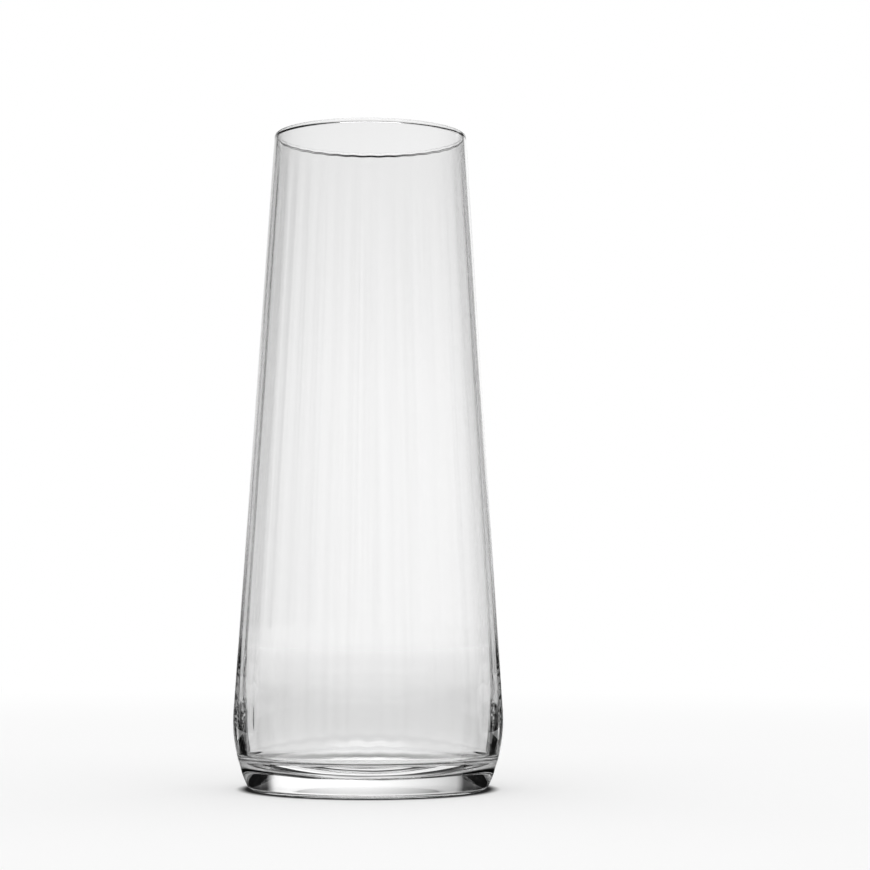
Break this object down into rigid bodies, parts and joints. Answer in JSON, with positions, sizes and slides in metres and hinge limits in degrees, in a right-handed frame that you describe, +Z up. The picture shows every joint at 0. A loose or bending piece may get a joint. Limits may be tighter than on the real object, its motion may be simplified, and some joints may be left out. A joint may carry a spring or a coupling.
{
  "type": "glass carafe",
  "caption": "Clear glass carafe: a tapering, softly ribbed glass body on a thick solid base, with a wide open mouth, for holding and pouring water or wine.",
  "frame": {"origin": "centre of the footprint, on the table surface that the carafe stands on", "axes": "+Z up along the axis of the carafe, towards the mouth; +X to the right and +Y away from the viewer of the picture"},
  "size_m": [0.0988, 0.0988, 0.2408],
  "materials": {
    "glass": "clear, fire-polished, softly ribbed inside"
  },
  "bodies": {
    "root": {"base": "glass", "body": "glass", "rim": "glass"}
  },
  "joints": []
}
